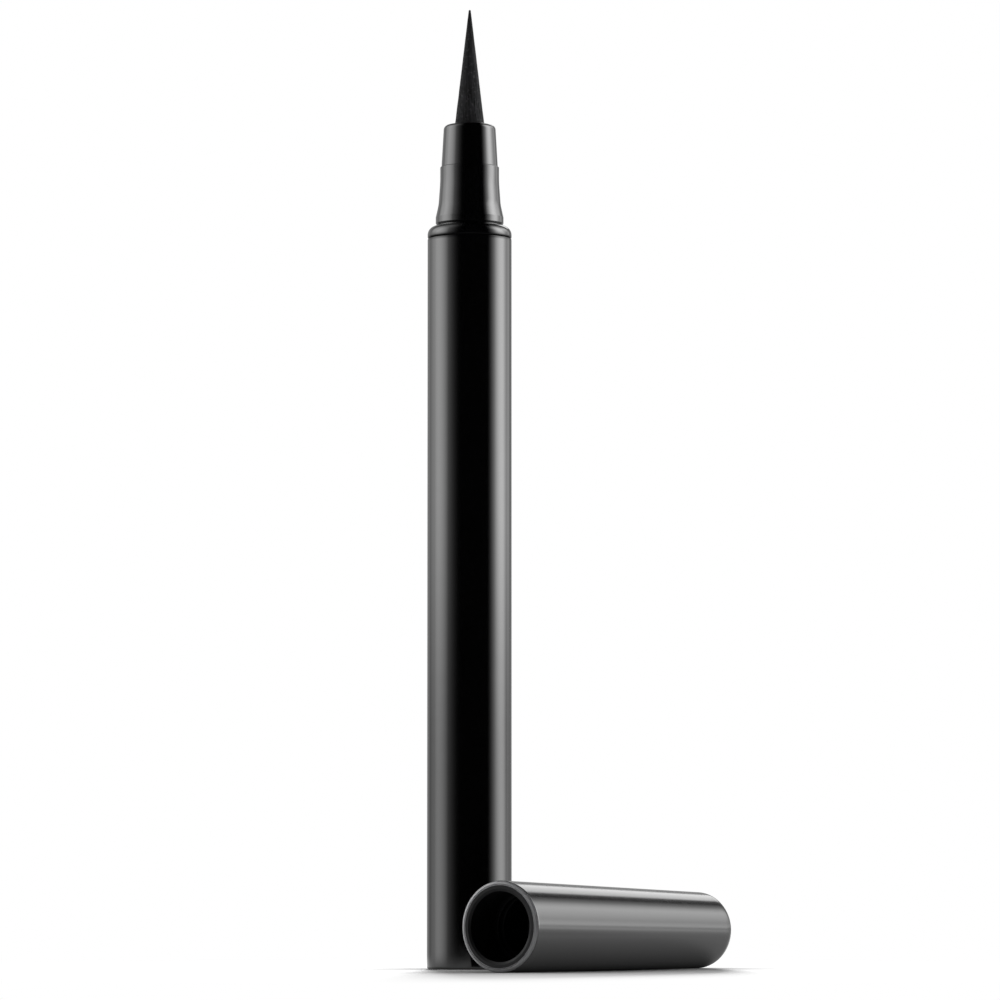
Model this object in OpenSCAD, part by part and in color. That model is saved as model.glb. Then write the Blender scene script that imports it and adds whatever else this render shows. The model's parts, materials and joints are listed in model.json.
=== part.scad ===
// Liquid eyeliner pen with its cap taken off and laid beside it.
// The pen stands on its foot: the origin is the centre of the foot and +Z runs up the pen.
// The cap lies on its side in front of the pen, along X, with its mouth towards -X.

/* [Barrel] */
// Outer diameter of the barrel
barrel_d = 10.5; // [10:0.1:12.5]
// Height of the barrel, from the foot to the seam under the shoulder ring
barrel_h = 91; // [80:0.2:120]
// Wall of the barrel tube
barrel_wall = 0.8; // [0.6:0.05:0.9]
// Rounding of the barrel's foot edge
foot_round = 0.25; // [0.1:0.05:0.4]
// Rounding of the two edges that meet at the seam
seam_round = 0.2; // [0.05:0.01:0.25]

/* [Tail plug] */
// Height of the plug that closes the foot of the barrel
tail_plug_h = 6; // [4:0.5:12]
// Thickness of the plug's closed end
tail_floor = 1.5; // [0.8:0.1:2.5]
// Wall of the plug's cup
tail_wall = 0.9; // [0.6:0.1:1.5]
// Depth of the relief between the plug's two sealing lands
tail_relief = 0.2; // [0.1:0.05:0.4]

/* [Ink tank] */
// Wall of the ink tank
tank_wall = 0.6; // [0.4:0.05:0.8]
// Length of the tank's slim end that plugs into the collector housing
tank_spigot_h = 5; // [4.6:0.1:8]
// Thickness of the flange on the tank's rear plug
tank_plug_flange = 1; // [0.6:0.1:2]
// Depth that the rear plug reaches into the tank
tank_plug_h = 4.5; // [3:0.1:8]
// Wall of the rear plug's cup
tank_plug_wall = 0.8; // [0.5:0.1:1.2]
// Diameter of the loose ball that stirs the ink
ball_d = 4; // [3:0.1:5]

/* [Collector] */
// Length of the finned stretch that buffers the ink
fins_h = 20; // [12:0.5:26]
// Distance from one fin to the next
fin_pitch = 0.8; // [0.6:0.05:1.4]
// Thickness of a fin
fin_t = 0.35; // [0.2:0.05:0.5]
// Diameter of the collector's hub
hub_d = 3.2; // [2.8:0.1:3.6]
// Thickness of the flange that rests on the tank's rim
collector_flange = 1; // [0.6:0.1:2]
// Depth that the collector's plug reaches into the tank
collector_plug_h = 4; // [3:0.1:4.4]
// Width of the air slot through the fins
air_slot_w = 0.5; // [0.3:0.05:0.8]
// Wall of the collector housing
housing_wall = 0.45; // [0.35:0.05:0.6]
// Thickness of the housing's front wall
housing_front = 0.8; // [0.5:0.1:1.2]
// Length of the housing's nose in the neck
housing_nose_h = 4; // [2:0.1:5]
// Diameter of the feed core that carries ink to the tip
core_d = 1.8; // [1.4:0.05:1.9]
// Length of feed core that dips into the ink tank
core_dip = 5; // [2:0.5:10]

/* [Shoulder ring and neck] */
// Height of the shoulder ring above the barrel's seam
shoulder_h = 1.55; // [1.4:0.05:1.8]
// Rounding of the shoulder
shoulder_round = 1.1; // [0.5:0.05:1.15]
// Length of the ring's skirt inside the barrel
ring_skirt_h = 3; // [2:0.1:6]
// Wall of the ring's skirt
ring_skirt_wall = 0.34; // [0.3:0.02:0.4]
// Height of the neck above the shoulder ring
neck_h = 7.45; // [7:0.05:9]
// Diameter of the neck's slim front as a share of the neck's foot
neck_share = 0.909; // [0.88:0.001:0.93]
// How far the snap bead stands out from the neck's foot, on each side
bead_proud = 0.19; // [0.12:0.01:0.25]
// Rounding of the neck's front edge
neck_round = 0.08; // [0.04:0.02:0.3]
// Wall of the neck's skirt round the collector housing
neck_skirt_wall = 0.38; // [0.3:0.02:0.45]
// Length of the neck's skirt
neck_skirt_h = 6; // [3:0.5:12]
// Diameter of the bore through the neck as a share of the neck's slim front
neck_bore_share = 0.782; // [0.76:0.002:0.8]

/* [Nozzle and tip] */
// Height of the nozzle in front of the neck
nozzle_h = 5.3; // [4.5:0.1:7]
// How far the nozzle narrows to its front, on each side
nozzle_taper = 0.305; // [0.1:0.005:0.4]
// Step from the neck in to the nozzle, on each side
nozzle_step = 0.155; // [0.05:0.005:0.25]
// Rounding of the nozzle's front edge
nozzle_top_round = 0.6; // [0.3:0.05:0.8]
// Rounding of the nozzle's rear edge
nozzle_low_round = 0.06; // [0.04:0.02:0.3]
// Length of the nozzle's spigot in the neck
nozzle_spigot_h = 5.5; // [4:0.1:6]
// Length of the nozzle's lip that grips the tip
nozzle_lip_h = 2; // [1:0.1:3]
// Diameter of the tip where it leaves the nozzle as a share of the tip holder
tip_share = 0.846; // [0.76:0.002:0.88]
// Length of tip that stands out of the nozzle
tip_len = 14.6; // [8:0.1:16]
// Diameter of the tip's rounded point
tip_point_d = 0.28; // [0.15:0.01:0.5]
// Thickness of the collar that the nozzle holds the tip by
tip_collar_h = 0.8; // [0.5:0.1:1.5]
// Diameter of the tip's root as a share of the tip holder
root_share = 0.614; // [0.56:0.002:0.66]
// Length of the tip's root
tip_root_h = 7; // [5:0.1:7.6]
// Depth of the socket in the root that takes the feed core
core_socket_h = 2; // [1:0.1:3]
// Diameter of the bore for the tip holder as a share of the nozzle's spigot
holder_bore_share = 0.782; // [0.76:0.002:0.82]
// Width of an air groove along the tip holder
holder_groove_w = 0.5; // [0.3:0.05:0.8]

/* [Cap] */
// Length of the cap
cap_len = 46; // [42:0.5:60]
// How far the cap's mouth stands out from the barrel, on each side
cap_proud = 0.2; // [0.15:0.01:0.4]
// How far the cap narrows to its closed end, before the rounding, on each side
cap_taper = 0.7; // [0.4:0.05:0.8]
// Rounding of the closed end
cap_end_round = 1.9; // [1.5:0.1:2.2]
// Rounding of the lip round the mouth
lip_round = 0.36; // [0.2:0.02:0.38]
// Wall of the cap shell
cap_shell_wall = 0.4; // [0.38:0.01:0.45]
// Thickness of the shell's closed end
cap_shell_end = 0.9; // [0.6:0.05:1.2]
// Wall of the cap liner at its closed end
liner_wall = 0.6; // [0.4:0.05:0.7]
// Thickness of the liner's closed end
liner_end = 0.8; // [0.5:0.05:1.2]
// Distance from the pen's axis to the cap's axis
cap_aside = 20; // [14:0.5:40]
// Distance from the pen's axis back to the cap's mouth
cap_back = 23; // [0:0.5:40]

/* [Inner cap] */
// Travel of the inner cap on its spring
inner_travel = 1.5; // [0.8:0.1:2]
// Wall of the inner cap round the nozzle
inner_wall = 0.45; // [0.35:0.02:0.5]
// Thickness of the inner cap's flange
inner_flange_t = 1.2; // [0.8:0.1:2]
// Share of the room between the tip and the inner cap's rear wall that the chamber opens up
chamber_share = 0.405; // [0.3:0.005:0.6]
// Wall of the chamber
chamber_wall = 0.6; // [0.4:0.05:0.8]
// Space left in front of the tip's point
point_room = 1; // [0.5:0.1:3]
// Length of the collar that guides the rear of the inner cap
inner_collar_t = 1.5; // [0.8:0.1:3]
// Thickness of the soft seal that presses on the nozzle
seal_t = 1.3; // [0.8:0.1:2]
// How far the soft seal reaches in past the chamber's wall, on each side
seal_lip = 0.15; // [0.05:0.01:0.3]
// Thickness of the ring that keeps the inner cap in
keeper_t = 0.8; // [0.5:0.05:1.2]
// Width of the keeper ring, from its hole to its rim
keeper_w = 0.55; // [0.4:0.01:0.6]
// Depth of the groove that holds the keeper ring
keeper_groove = 0.12; // [0.06:0.01:0.2]
// Wire diameter of the spring
wire_d = 0.45; // [0.35:0.05:0.6]
// Distance from the liner's bore in to the middle of the spring's wire
spring_room = 0.72; // [0.5:0.01:1]
// Number of turns in the spring
spring_turns = 9; // [6:1:12]
// Distance from the middle of the spring's wire in to the bosses that centre it
boss_room = 0.8; // [0.6:0.05:1.4]
// Length of the bosses
boss_h = 2.5; // [1:0.1:4]

/* [Hidden] */

// Facets that stand for a full circle in turned surfaces
turn_sides = 96;
// Overrun of every cut past the face that it leaves
cut_over = 0.5;

// Radial clearance of a pressed or glued fit
fit_gap = 0.03;
// Radial clearance of a sliding fit
slide_gap = 0.05;
// Clearance between two faces that part when a piece moves
stop_gap = 0.02;
// Radial clearance of the collector's fins in the housing
fin_gap = 0.06;
// Radial air space round the collector's hub in the housing's nose
nose_air = 0.3;
// Radial clearance of the nozzle in the inner cap
nozzle_gap = 0.075;
// Radial clearance of the snap bead in the cap
bead_gap = 0.07;

// The barrel's bore, and what fills it from the outside in
bore_r = barrel_d / 2 - barrel_wall;
bore_fit_r = bore_r - fit_gap;
housing_r = bore_fit_r - neck_skirt_wall - fit_gap;
housing_bore_r = housing_r - housing_wall;
tank_bore_r = housing_r - tank_wall;
spigot_r = housing_bore_r - fit_gap;
spigot_bore_r = spigot_r - tank_wall;
fin_r = housing_bore_r - fin_gap;
core_hole_r = core_d / 2 + fit_gap;
hub_r = hub_d / 2;

// Heights inside the barrel, worked down from the seam
neck_land = 0.9;
neck_step_z = barrel_h - ring_skirt_h;
housing_top_z = neck_step_z - neck_land;
fins_top_z = housing_top_z - housing_front;
flange_top_z = fins_top_z - fins_h;
tank_top_z = flange_top_z - collector_flange;
tank_step_z = tank_top_z - tank_spigot_h;
collector_low_z = tank_top_z - collector_plug_h;
core_low_z = collector_low_z - core_dip;
hub_top_z = housing_top_z + housing_nose_h;

// Heights inside the barrel, worked up from the foot
tank_low_z = tail_plug_h + tank_plug_flange;
tank_floor_z = tank_low_z + tank_plug_h;
ball_z = tank_floor_z + stop_gap + ball_d / 2;
ball_travel = core_low_z - stop_gap - ball_d / 2 - ball_z;

// Tail plug: height of each sealing land, and the rounding of its foot edge
tail_land = 1;
tail_edge = 0.1;

// Collector seal: height of its groove and depth of the groove in the plug
seal_groove_h = 0.8;
seal_groove_depth = 0.5;
tank_seal_d = fit_gap + seal_groove_depth - 2 * stop_gap;

// Number of whole fins on the finned stretch
fin_count = floor((fins_h - fin_t) / fin_pitch) + 1;

// Neck: its profile above the shoulder ring
shoulder_z = barrel_h + shoulder_h;
neck_top_z = shoulder_z + neck_h;
foot_r = bore_fit_r - ring_skirt_wall - fit_gap;
bead_r = foot_r + bead_proud;
neck_r = foot_r * neck_share;
neck_bore_r = neck_r * neck_bore_share;
// Height of the plain foot, of the rise to the bead, of the bead's flat and of the flare above it
neck_foot_h = 0.1;
bead_rise = 0.25;
bead_flat = 0.75;
flare_h = 4.45;
bead_low_z = shoulder_z + neck_foot_h + bead_rise;
bead_top_z = bead_low_z + bead_flat;
// Where the flare turns: share of its height, and share of the way out from neck to bead
flare_shares = [[0, 1], [0.18, 0.68], [0.37, 0.36], [1, 0]];

// Nozzle, tip and holder
nozzle_r = neck_r - nozzle_step;
nozzle_top_r = nozzle_r - nozzle_taper;
nozzle_spigot_r = neck_bore_r - fit_gap;
holder_bore_r = nozzle_spigot_r * holder_bore_share;
holder_r = holder_bore_r - fit_gap;
tip_r = holder_r * tip_share;
root_r = holder_r * root_share;
nozzle_top_z = neck_top_z + nozzle_h;
nozzle_low_z = neck_top_z - nozzle_spigot_h;
lip_z = nozzle_top_z - nozzle_lip_h;
collar_low_z = lip_z - tip_collar_h;
root_low_z = collar_low_z - tip_root_h;
core_top_z = root_low_z + core_socket_h;
holder_groove_depth = 0.3;
holder_grooves = 3;

// Cap: outer radius at its mouth and at its end, and how far it dips to lie on its side
cap_mouth_r = barrel_d / 2 + cap_proud;
cap_end_r = cap_mouth_r - cap_taper;
cap_dip = atan(cap_taper / (cap_len - lip_round - cap_end_round));
// Inside of the shell, outside of the liner
shell_gap = cap_shell_wall + fit_gap;
shell_end_z = cap_len - cap_shell_end;
shell_inner_round = cap_end_round - cap_shell_wall;
liner_end_z = shell_end_z - stop_gap;
liner_floor_z = liner_end_z - liner_end;
front_bore_r = bead_r + bead_gap;
rear_bore_r = cap_end_r - shell_gap - liner_wall;
// Mouth of the liner: lead-in, snap rib and the groove behind it
lead_in = 0.19;
lead_in_h = 0.15;
rib_flat = 0.05;
rib_back_h = 0.15;
rib_r = bead_r - bead_proud / 3;

// Inner cap: distances from its own mouth, which faces the pen
mouth_room = 0.3;
seal_face = nozzle_h - mouth_room;
seal_back = seal_face + seal_t;
inner_bore_r = nozzle_r + nozzle_gap;
collar_r = rear_bore_r - slide_gap;
chamber_r = tip_r + (collar_r - chamber_wall - tip_r) * chamber_share;
inner_step = seal_back + chamber_wall;
chamber_end = seal_face + tip_len + point_room;
inner_back = chamber_end + chamber_wall;
// Places along the cap, from the cap's mouth
inner_mouth_u = nozzle_top_z - shoulder_z - seal_face - inner_travel;
keeper_u = inner_mouth_u - stop_gap - keeper_t;
step_room = 0.5;
liner_step_u = inner_mouth_u + inner_step + inner_travel + step_room;
spring_low_u = inner_mouth_u + inner_back + stop_gap;
spring_top_u = liner_floor_z - stop_gap;
spring_r = rear_bore_r - spring_room;
boss_r = spring_r - boss_room;

// Spring: rings along each turn and sides round the wire
turn_rings = 8;
wire_sides = 6;
spring_rings = spring_turns * turn_rings;

// Turns a half outline about the Z axis
module turned() {
    rotate_extrude($fn = turn_sides) children();
}

// Half outline as a plain rectangle from the radius r_in to r_out
module step(r_in, r_out, z_low, z_high) {
    translate([r_in, z_low]) square([r_out - r_in, z_high - z_low]);
}

// Outline of a turned ring whose outer side runs from r_low to r_high and has rounded edges
module band(r_in, r_low, r_high, z_low, z_high, round_low, round_high) {
    intersection() {
        union() {
            polygon([
                [r_in, z_low], [r_low - round_low, z_low], [r_low, z_low + round_low],
                [r_high, z_high - round_high], [r_high - round_high, z_high], [r_in, z_high]
            ]);
            translate([r_low - round_low, z_low + round_low])
                circle(round_low, $fn = turn_sides);
            translate([r_high - round_high, z_high - round_high])
                circle(round_high, $fn = turn_sides);
        }
        step(r_in, max(r_low, r_high), z_low, z_high);
    }
}

// Lays a piece of the cap, drawn upright with its mouth at zero, on its side in front of the pen
module laid() {
    translate([-cap_back, -cap_aside, cap_mouth_r * cos(cap_dip) + lip_round * sin(cap_dip)])
        rotate([0, 90 + cap_dip, 0]) children();
}

// Outer radius of the cap at a distance from its mouth
function cap_r(u) = cap_mouth_r - tan(cap_dip) * (u - lip_round);

// Half outline that follows the cap's taper at a distance inside its outer side
module cap_band(inset, u_low, u_high, round_low, round_high) {
    band(0, cap_r(u_low + round_low) - inset, cap_r(u_high - round_high) - inset, u_low, u_high,
        round_low, round_high);
}

module barrel() {
    color("#17181a") turned()
        band(bore_r, barrel_d / 2, barrel_d / 2, 0, barrel_h, foot_round, seam_round);
}

module tail_plug() {
    color("#1d1e20") turned() difference() {
        band(0, bore_fit_r, bore_fit_r, 0, tail_plug_h, tail_edge, tail_edge);
        step(-cut_over, bore_fit_r - tail_wall, tail_floor, tail_plug_h + cut_over);
        step(bore_fit_r - tail_relief, bore_r + cut_over, tail_floor, tail_plug_h - tail_land);
    }
}

module tank_plug() {
    plug_r = tank_bore_r - fit_gap;
    color("#e8e6df") turned() difference() {
        union() {
            step(0, bore_fit_r, tail_plug_h, tank_low_z);
            step(0, plug_r, tail_plug_h, tank_floor_z);
        }
        step(-cut_over, plug_r - tank_plug_wall, tail_plug_h - cut_over,
            tank_floor_z - tank_plug_wall);
    }
}

module ink_tank() {
    slope = tank_bore_r - spigot_bore_r;
    color("#d9dcdf") turned() polygon([
        [tank_bore_r, tank_low_z], [housing_r, tank_low_z], [housing_r, tank_step_z],
        [spigot_r, tank_step_z], [spigot_r, tank_top_z], [spigot_bore_r, tank_top_z],
        [spigot_bore_r, tank_step_z - tank_wall], [tank_bore_r, tank_step_z - tank_wall - slope]
    ]);
}

module mixing_ball() {
    color("#b9bcc0") translate([0, 0, ball_z]) sphere(d = ball_d, $fn = turn_sides);
}

// Corners of the fins, from the flange up
function fin_corners() = [
    for (i = [0 : fin_count - 1], c = [[0, 0], [1, 0], [1, 1], [0, 1]])
        [c[0] == 0 ? hub_r : fin_r,
            fins_top_z - (fin_count - 1 - i) * fin_pitch - (1 - c[1]) * fin_t]
];

module collector() {
    plug_r = spigot_bore_r - fit_gap;
    groove_r = plug_r - seal_groove_depth;
    groove_z = (collector_low_z + tank_top_z - seal_groove_h) / 2;
    flange_r = housing_bore_r - fit_gap;
    color("#cfd2d4") difference() {
        turned() polygon(concat(
            [[core_hole_r, collector_low_z], [plug_r, collector_low_z], [plug_r, groove_z],
                [groove_r, groove_z], [groove_r, groove_z + seal_groove_h],
                [plug_r, groove_z + seal_groove_h], [plug_r, tank_top_z], [flange_r, tank_top_z],
                [flange_r, flange_top_z], [hub_r, flange_top_z]],
            fin_corners(),
            [[hub_r, hub_top_z], [core_hole_r, hub_top_z]]
        ));
        translate([hub_r, -air_slot_w / 2, flange_top_z])
            cube([fin_r + cut_over, air_slot_w, fins_h + cut_over]);
    }
}

module tank_seal() {
    seal_z = (collector_low_z + tank_top_z) / 2;
    color("#3b3d3f") turned()
        translate([spigot_bore_r - stop_gap - tank_seal_d / 2, seal_z])
            circle(d = tank_seal_d, $fn = turn_sides);
}

module feed_core() {
    color("#f1efe8") translate([0, 0, core_low_z])
        cylinder(d = core_d, h = core_top_z - core_low_z, $fn = turn_sides);
}

module collector_housing() {
    nose_r = neck_bore_r - fit_gap;
    nose_bore_r = hub_r + nose_air;
    color("#e4e5e3") turned() polygon([
        [housing_bore_r, tank_step_z], [housing_r, tank_step_z], [housing_r, housing_top_z],
        [nose_r, housing_top_z], [nose_r, hub_top_z], [nose_bore_r, hub_top_z],
        [nose_bore_r, fins_top_z], [housing_bore_r, fins_top_z]
    ]);
}

// Outer corners of the neck's flare, from the bead up
function flare_corners() = [
    for (s = flare_shares) [neck_r + (bead_r - neck_r) * s[1], bead_top_z + flare_h * s[0]]
];

module neck() {
    skirt_r = bore_fit_r - neck_skirt_wall;
    color("#17181a") turned() {
        polygon(concat(
            [[skirt_r, housing_top_z - neck_skirt_h], [bore_fit_r, housing_top_z - neck_skirt_h],
                [bore_fit_r, neck_step_z], [foot_r, neck_step_z],
                [foot_r, shoulder_z + neck_foot_h], [bead_r, bead_low_z]],
            flare_corners(),
            [[neck_r, neck_top_z - neck_round], [neck_r - neck_round, neck_top_z],
                [neck_bore_r, neck_top_z], [neck_bore_r, housing_top_z],
                [skirt_r, housing_top_z]]
        ));
        translate([neck_r - neck_round, neck_top_z - neck_round])
            circle(neck_round, $fn = turn_sides);
    }
}

module shoulder_ring() {
    ring_bore_r = foot_r + fit_gap;
    color("#17181a") turned() {
        step(ring_bore_r, bore_fit_r, neck_step_z, barrel_h + seam_round);
        band(ring_bore_r, barrel_d / 2, barrel_d / 2, barrel_h, shoulder_z, seam_round,
            shoulder_round);
    }
}

module nozzle() {
    color("#17181a") turned() difference() {
        union() {
            band(0, nozzle_r, nozzle_top_r, neck_top_z, nozzle_top_z, nozzle_low_round,
                nozzle_top_round);
            step(0, nozzle_spigot_r, nozzle_low_z, neck_top_z + nozzle_low_round);
        }
        step(-cut_over, tip_r + fit_gap, nozzle_low_z - cut_over, nozzle_top_z + cut_over);
        step(-cut_over, holder_bore_r, nozzle_low_z - cut_over, lip_z);
    }
}

module tip_holder() {
    color("#2a2b2d") difference() {
        turned() step(root_r + fit_gap, holder_r, nozzle_low_z, collar_low_z);
        for (i = [0 : holder_grooves - 1])
            rotate([0, 0, i * 360 / holder_grooves])
                translate([holder_r - holder_groove_depth, -holder_groove_w / 2,
                    nozzle_low_z - cut_over])
                    cube([cut_over, holder_groove_w, collar_low_z - nozzle_low_z + 2 * cut_over]);
    }
}

module fibre_tip() {
    point_r = tip_point_d / 2;
    point_z = nozzle_top_z + tip_len - point_r;
    color("#242426") turned() difference() {
        union() {
            polygon([
                [0, root_low_z], [root_r, root_low_z], [root_r, collar_low_z],
                [holder_r, collar_low_z], [holder_r, lip_z], [tip_r, lip_z],
                [tip_r, nozzle_top_z], [point_r, point_z], [0, point_z]
            ]);
            translate([0, point_z]) circle(point_r, $fn = turn_sides);
        }
        step(-cut_over, 0, root_low_z - cut_over, nozzle_top_z + tip_len + cut_over);
        step(-cut_over, core_hole_r, root_low_z - cut_over, core_top_z);
    }
}

module cap_shell() {
    color("#17181a") laid() turned() difference() {
        cap_band(0, 0, cap_len, lip_round, cap_end_round);
        cap_band(cap_shell_wall, -cut_over, shell_end_z, fit_gap, shell_inner_round);
    }
}

module cap_liner() {
    bore = [
        [0, -cut_over], [front_bore_r + lead_in, -cut_over], [front_bore_r + lead_in, 0],
        [rib_r, lead_in_h], [rib_r, lead_in_h + rib_flat],
        [front_bore_r, lead_in_h + rib_flat + rib_back_h], [front_bore_r, keeper_u],
        [front_bore_r + keeper_groove, keeper_u],
        [front_bore_r + keeper_groove, keeper_u + keeper_t], [front_bore_r, keeper_u + keeper_t],
        [front_bore_r, liner_step_u], [rear_bore_r, liner_step_u], [rear_bore_r, liner_floor_z],
        [boss_r, liner_floor_z], [boss_r, liner_floor_z - boss_h],
        [0, liner_floor_z - boss_h]
    ];
    color("#232426") laid() turned() difference() {
        cap_band(shell_gap, 0, liner_end_z, fit_gap, shell_inner_round);
        polygon(bore);
    }
}

module keeper_ring() {
    keeper_r = front_bore_r + keeper_groove - fit_gap;
    color("#1d1e20") laid() turned()
        step(keeper_r - keeper_w, keeper_r, keeper_u, keeper_u + keeper_t);
}

module inner_cap() {
    tube_r = chamber_r + chamber_wall;
    outline = [
        [inner_bore_r, 0], [front_bore_r - slide_gap, 0], [front_bore_r - slide_gap, inner_flange_t],
        [inner_bore_r + inner_wall, inner_flange_t], [inner_bore_r + inner_wall, inner_step],
        [tube_r, inner_step], [tube_r, inner_back - inner_collar_t],
        [collar_r, inner_back - inner_collar_t], [collar_r, inner_back], [boss_r, inner_back],
        [boss_r, inner_back + boss_h], [0, inner_back + boss_h], [0, chamber_end],
        [chamber_r, chamber_end], [chamber_r, seal_back], [inner_bore_r, seal_back]
    ];
    color("#1d1e20") laid() translate([0, 0, inner_mouth_u]) turned() polygon(outline);
}

module inner_cap_seal() {
    color("#3b3d3f") laid() translate([0, 0, inner_mouth_u]) turned()
        step(chamber_r - seal_lip, inner_bore_r - stop_gap, seal_face, seal_back);
}

// Centre of the wire at ring i, its running direction and its direction away from the axis
function wire_angle(i) = i * 360 / turn_rings;
function wire_low() = spring_low_u + wire_d / 2;
function wire_rise() = spring_top_u - spring_low_u - wire_d;
function wire_out(i) = [cos(wire_angle(i)), sin(wire_angle(i)), 0];
function wire_centre(i) =
    spring_r * wire_out(i) + [0, 0, wire_low() + wire_rise() * i / spring_rings];
function wire_along(i) =
    let (climb = wire_rise() / (spring_turns * 2 * PI * spring_r),
        t = [-sin(wire_angle(i)), cos(wire_angle(i)), climb])
    t / norm(t);
function wire_ring(i) = [
    for (k = [0 : wire_sides - 1])
        let (a = k * 360 / wire_sides, side = cross(wire_along(i), wire_out(i)))
        wire_centre(i) + wire_d / 2 * (cos(a) * wire_out(i) + sin(a) * side)
];
function wire_face(i, k) =
    let (n = (k + 1) % wire_sides, p = i * wire_sides, q = p + wire_sides)
    [[p + k, q + k, q + n], [p + k, q + n, p + n]];

// Least clear distance between two turns of the spring, printed when the part is built
spring_gap = min([
    for (i = [0 : spring_rings - 1], j = [i + turn_rings - 1 : spring_rings])
        norm(wire_centre(i) - wire_centre(j)) - wire_d
]);
echo(spring_gap = spring_gap);
echo(ball_travel = ball_travel);

module cap_spring() {
    points = [for (i = [0 : spring_rings]) each wire_ring(i)];
    last = spring_rings * wire_sides;
    sides = [for (i = [0 : spring_rings - 1], k = [0 : wire_sides - 1]) each wire_face(i, k)];
    low_end = [for (k = [1 : wire_sides - 2]) [0, k, k + 1]];
    high_end = [for (k = [1 : wire_sides - 2]) [last, last + k + 1, last + k]];
    color("#c2c5c8") laid() polyhedron(points, concat(sides, low_end, high_end));
}

barrel();
tail_plug();
tank_plug();
ink_tank();
mixing_ball();
collector();
tank_seal();
feed_core();
collector_housing();
neck();
shoulder_ring();
nozzle();
tip_holder();
fibre_tip();
cap_shell();
cap_liner();
keeper_ring();
inner_cap();
inner_cap_seal();
cap_spring();
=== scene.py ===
import json
import math

import bpy
import numpy as np
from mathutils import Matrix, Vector


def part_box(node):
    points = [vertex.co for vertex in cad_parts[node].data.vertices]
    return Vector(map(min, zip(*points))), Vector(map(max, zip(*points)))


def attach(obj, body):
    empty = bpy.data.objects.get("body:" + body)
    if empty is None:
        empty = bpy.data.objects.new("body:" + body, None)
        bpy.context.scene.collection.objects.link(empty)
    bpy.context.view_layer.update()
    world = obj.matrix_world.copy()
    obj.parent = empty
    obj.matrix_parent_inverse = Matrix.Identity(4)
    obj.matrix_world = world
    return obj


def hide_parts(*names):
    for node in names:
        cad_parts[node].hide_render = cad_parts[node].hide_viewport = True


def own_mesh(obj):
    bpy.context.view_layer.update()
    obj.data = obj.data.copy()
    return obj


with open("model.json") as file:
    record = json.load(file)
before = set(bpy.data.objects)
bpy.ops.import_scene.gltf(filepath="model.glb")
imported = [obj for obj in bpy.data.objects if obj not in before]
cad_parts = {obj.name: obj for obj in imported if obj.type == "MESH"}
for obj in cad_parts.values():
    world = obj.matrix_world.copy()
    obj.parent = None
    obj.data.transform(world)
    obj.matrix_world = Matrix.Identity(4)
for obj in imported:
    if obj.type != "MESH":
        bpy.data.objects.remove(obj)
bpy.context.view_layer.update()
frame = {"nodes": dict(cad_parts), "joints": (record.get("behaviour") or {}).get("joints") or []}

# Barrel: the pen's outer tube, injection moulded in black ABS in a mirror-polished tool.
# Its foot is broken by a small rounding, and a smaller one at the top makes half of the seam
# under the shoulder ring. Ring and neck are pressed in from above, the tail plug from below.
mm = 0.001
barrel_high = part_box("barrel")[1]
barrel_r = barrel_high.x
seam_z = barrel_high.z
barrel_wall = 0.8 * mm
bore_r = barrel_r - barrel_wall
foot_round = 0.25 * mm
seam_round = 0.2 * mm
moulded_edge = 0.04 * mm
turn_sides = 256
round_turn = np.linspace(0, 2 * math.pi, turn_sides, endpoint=False)
sharp_fold = math.radians(32)
# A rounding is drawn in steps of this much, and in this many at least
arc_step = math.radians(8)
least_arc_steps = 4
# Share of a cut, or of the flat stretch beside it, at which the flat's own shading begins
flat_share = 0.3


def rounded(corners):
    """Half outline of a turned piece through corners given as radius, height and rounding, with
    the solid on the left. A corner is cut back by rounding / tan(half its angle) on both sides
    and bridged by the arc tangent to them. One more point beside each end of the arc keeps the
    shading of the flat stretch flat."""
    corners = np.array(corners, float)
    spots, rounding = corners[:, :2], corners[:, 2]
    ahead = np.roll(spots, -1, 0) - spots
    length = np.linalg.norm(ahead, axis=1)
    ahead /= length[:, None]
    back = -np.roll(ahead, 1, 0)
    half = np.arccos(np.clip((back * ahead).sum(1), -1, 1)) / 2
    cut = rounding / np.tan(half)
    free = length - cut - np.roll(cut, -1)
    outline = []
    for k, spot in enumerate(spots):
        if rounding[k] == 0:
            outline.append(spot[None])
            continue
        middle = back[k] + ahead[k]
        centre = spot + middle / np.linalg.norm(middle) * rounding[k] / math.sin(half[k])
        start, stop = spot + back[k] * cut[k], spot + ahead[k] * cut[k]
        turn = math.pi - 2 * half[k]
        t = np.linspace(0, turn, max(least_arc_steps, math.ceil(turn / arc_step)) + 1)[:, None]
        arc = (start - centre) * np.sin(turn - t) + (stop - centre) * np.sin(t)
        before = start + back[k] * flat_share * min(cut[k], free[k - 1])
        after = stop + ahead[k] * flat_share * min(cut[k], free[k])
        outline += [before[None], centre + arc / math.sin(turn), after[None]]
    return np.concatenate(outline)


def turned(outline):
    """Surface of revolution: row i, column k is (radius i cos a, radius i sin a, height i), with
    a the share k / turn_sides of a full turn."""
    radius, height = outline[:, :1], outline[:, 1:]
    return np.stack([radius * np.cos(round_turn), radius * np.sin(round_turn), height + 0 * round_turn], -1)


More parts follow.
